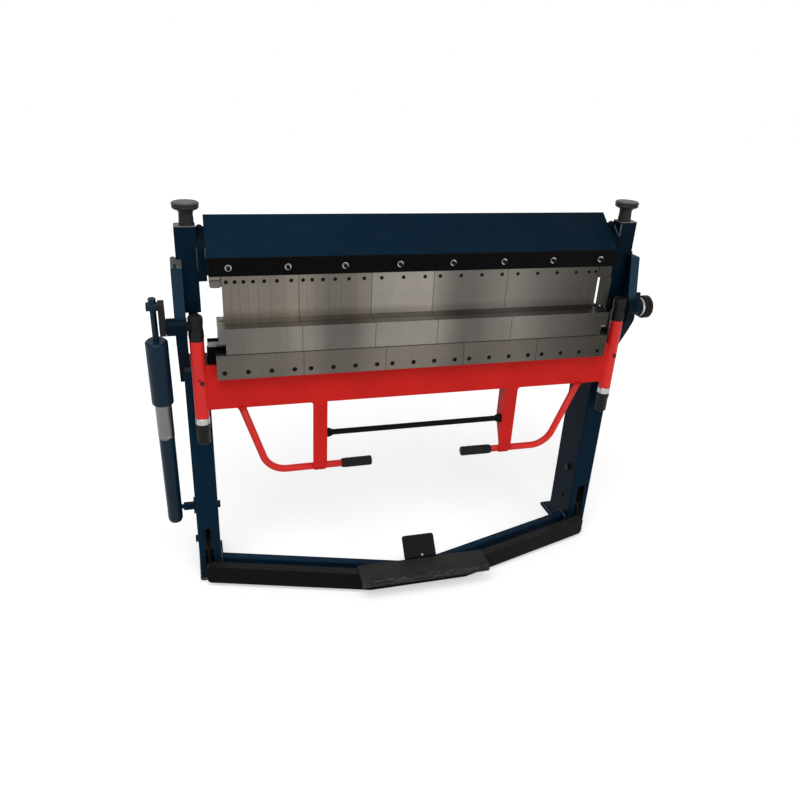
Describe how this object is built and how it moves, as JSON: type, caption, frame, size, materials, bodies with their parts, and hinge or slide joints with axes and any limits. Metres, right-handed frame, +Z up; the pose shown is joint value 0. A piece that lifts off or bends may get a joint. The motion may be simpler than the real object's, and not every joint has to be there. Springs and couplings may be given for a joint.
{
  "type": "box and pan brake",
  "caption": "Floor-standing sheet metal folder with a stepped row of fingers, a pedal-lowered clamping beam and a swinging leaf with two handles.",
  "frame": {"origin": "on the floor, straight under the middle of the fold line", "axes": "+X along the fold line to the operator's right, +Y to the back of the machine, +Z up"},
  "size_m": [1.6489, 0.446, 1.3025],
  "materials": {
    "navy": "semi-gloss enamel",
    "red": "semi-gloss enamel",
    "black": "satin black",
    "graphite": "satin dark grey",
    "bare_steel": "ground, lightly oiled",
    "bright_steel": "machined",
    "black_oxide": "black oxide",
    "rubber": "matte",
    "bronze": "machined"
  },
  "bodies": {
    "frame": {"left_column": "navy", "right_column": "navy", "foot_plates": "navy", "left_cheek": "navy", "right_cheek": "navy", "pivot_bushes": "bronze", "floor_beam": "navy", "bed_beam": "black", "bed_rail": "bright_steel", "bed_strip": "black", "bed_blade": "bare_steel", "frame_bolts": "black_oxide", "balancer_bracket": "navy", "stop_housing": "navy", "guide_gibs": "bronze"},
    "clamp": {"left_guide_box": "navy", "right_guide_box": "navy", "pull_rods": "bare_steel", "upper_beam": "navy", "clamp_strip": "black", "strip_washers": "bright_steel", "strip_screws": "black_oxide", "finger_rails": "bare_steel", "fingers_25": "bare_steel", "fingers_30": "bare_steel", "fingers_35": "bare_steel", "fingers_40": "bare_steel", "fingers_45": "bare_steel", "fingers_50": "bare_steel", "fingers_200": "bare_steel", "fingers_250": "bare_steel", "fingers_280": "bare_steel", "finger_screws": "black_oxide"},
    "left_knob": {"left_height_knob": "graphite"},
    "right_knob": {"right_height_knob": "graphite"},
    "swing": {"arm_sleeves": "black", "leaf_spindles": "bare_steel", "pivot_pins": "bare_steel", "crank_arm": "graphite", "stop_ring": "bright_steel"},
    "angle_knob": {"stop_knob": "black"},
    "leaf": {"apron": "red", "arm_tubes": "red", "bending_blades": "bare_steel", "clamp_bars": "bare_steel", "bar_screws": "black_oxide", "lock_rings": "bright_steel", "handle_pipes": "red", "hand_grips": "rubber", "cross_rod": "black"},
    "left_nut": {"left_leaf_nut": "black"},
    "right_nut": {"right_leaf_nut": "black"},
    "balancer_lower": {"balancer_tube": "graphite", "balancer_sleeve": "bright_steel"},
    "balancer_upper": {"balancer_head": "graphite", "balancer_pin": "black_oxide"},
    "pedal": {"pedal_bar": "black", "treadle": "black", "toe_plate": "black", "toe_screw": "bright_steel"}
  },
  "joints": [
    {"name": "clamp_lift", "type": "slide", "parent": "frame", "child": "clamp", "axis": [0, 0, 1], "range_m": [0, 0.047]},
    {"name": "pedal_swing", "type": "hinge", "parent": "frame", "child": "pedal", "pos_m": [0, 0.096, 0.142], "axis": [-1, 0, 0], "range_deg": [0, 58.51]},
    {"name": "bend", "type": "hinge", "parent": "frame", "child": "swing", "pos_m": [0, 0, 0.96], "axis": [-1, 0, 0], "range_deg": [0, 120]},
    {"name": "leaf_height", "type": "slide", "parent": "swing", "child": "leaf", "axis": [0, 0, -1], "range_m": [0, 0.01]},
    {"name": "left_nut_turn", "type": "hinge", "parent": "leaf", "child": "left_nut", "pos_m": [-0.6965, 0, 0.606], "axis": [0, 0, -1], "range_deg": [0, 720.5]},
    {"name": "right_nut_turn", "type": "hinge", "parent": "leaf", "child": "right_nut", "pos_m": [0.6965, 0, 0.606], "axis": [0, 0, -1], "range_deg": [0, 720.5]},
    {"name": "left_knob_turn", "type": "hinge", "parent": "clamp", "child": "left_knob", "pos_m": [-0.7005, 0.072, 1.29], "axis": [0, 0, 1], "continuous": true},
    {"name": "right_knob_turn", "type": "hinge", "parent": "clamp", "child": "right_knob", "pos_m": [0.7005, 0.072, 1.29], "axis": [0, 0, 1], "continuous": true},
    {"name": "angle_knob_turn", "type": "hinge", "parent": "swing", "child": "angle_knob", "pos_m": [0.809, 0, 0.96], "axis": [1, 0, 0], "continuous": true},
    {"name": "balancer_swing", "type": "hinge", "parent": "frame", "child": "balancer_lower", "pos_m": [-0.81, 0.096, 0.28], "axis": [-1, 0, 0], "range_deg": [0, 3.78]},
    {"name": "balancer_slide", "type": "slide", "parent": "balancer_lower", "child": "balancer_upper", "axis": [0, 0.128, -0.9918], "range_m": [0, 0.1011]}
  ],
  "couplings": [
    {"joint": "pedal_swing", "follows": "clamp_lift", "rad_per_m": 21.707},
    {"joint": "left_nut_turn", "follows": "leaf_height", "rad_per_m": 1256.6},
    {"joint": "right_nut_turn", "follows": "leaf_height", "rad_per_m": 1256.6},
    {"joint": "balancer_swing", "follows": "bend", "ratio": 0.031412},
    {"joint": "balancer_slide", "follows": "bend", "m_per_rad": 0.048176}
  ]
}
